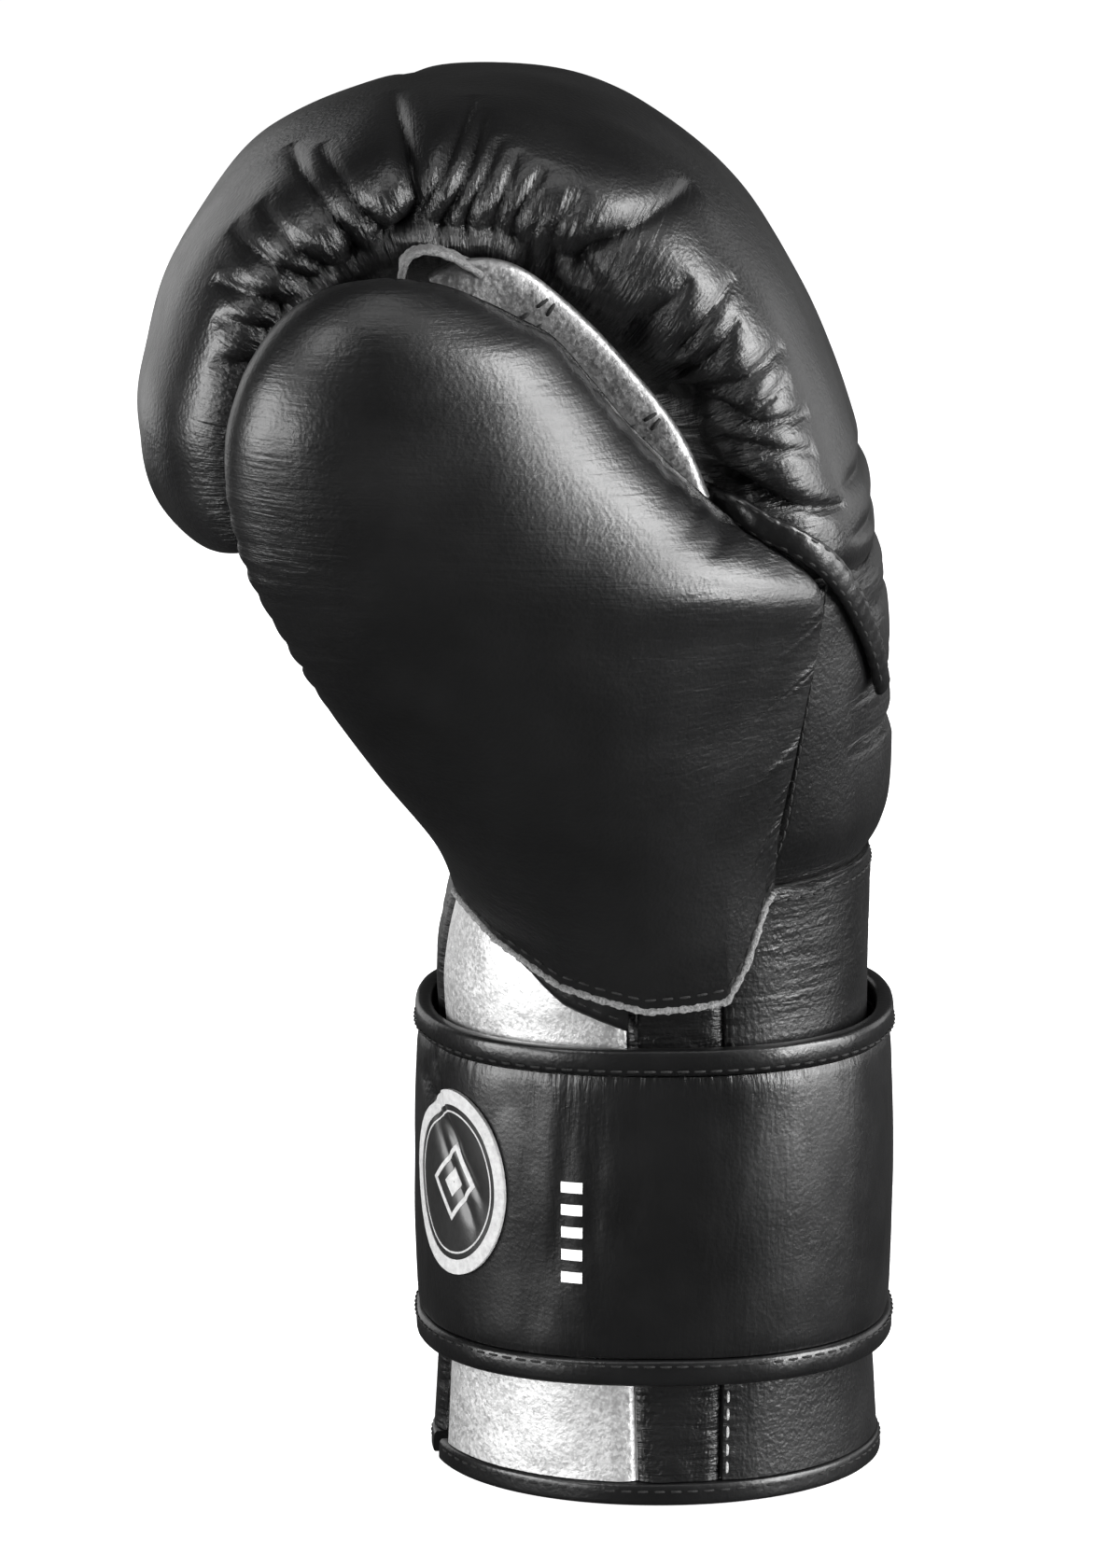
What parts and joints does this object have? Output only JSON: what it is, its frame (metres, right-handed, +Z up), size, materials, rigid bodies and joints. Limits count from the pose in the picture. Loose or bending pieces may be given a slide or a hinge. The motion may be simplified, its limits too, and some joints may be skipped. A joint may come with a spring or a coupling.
{
  "type": "boxing glove",
  "caption": "Padded boxing glove for a right hand, standing on its cuff, with a curled hollow fist, a sewn-down hollow thumb and a wide wrist strap.",
  "frame": {"origin": "on the surface the cuff stands on, under the middle of the glove's bounding box", "axes": "+Z up from the cuff to the fist, +X from the palm side to the back of the hand, -Y the thumb's side"},
  "size_m": [0.1656, 0.159, 0.3071],
  "materials": {
    "black_leather": "smooth, soft sheen",
    "silver_leather": "metallic foil on a fine grain",
    "binding_leather": "smooth, stitched",
    "raw_edge": "cut edge, matt",
    "patch_print": "printed, matt"
  },
  "bodies": {
    "root": {"fist_pad": "black_leather", "back_panel": "black_leather", "wrist_panel": "black_leather", "gusset_panel": "black_leather", "heel_panel": "black_leather", "palm_panel": "silver_leather", "cuff_binding": "binding_leather", "thumb_pad": "black_leather", "thumb_strip": "silver_leather", "strip_tab": "raw_edge", "thumb_welt": "binding_leather", "palm_facing": "binding_leather", "wrist_strap": "black_leather", "strap_binding_low": "binding_leather", "strap_binding_high": "binding_leather", "strap_patch": "patch_print"}
  },
  "joints": []
}
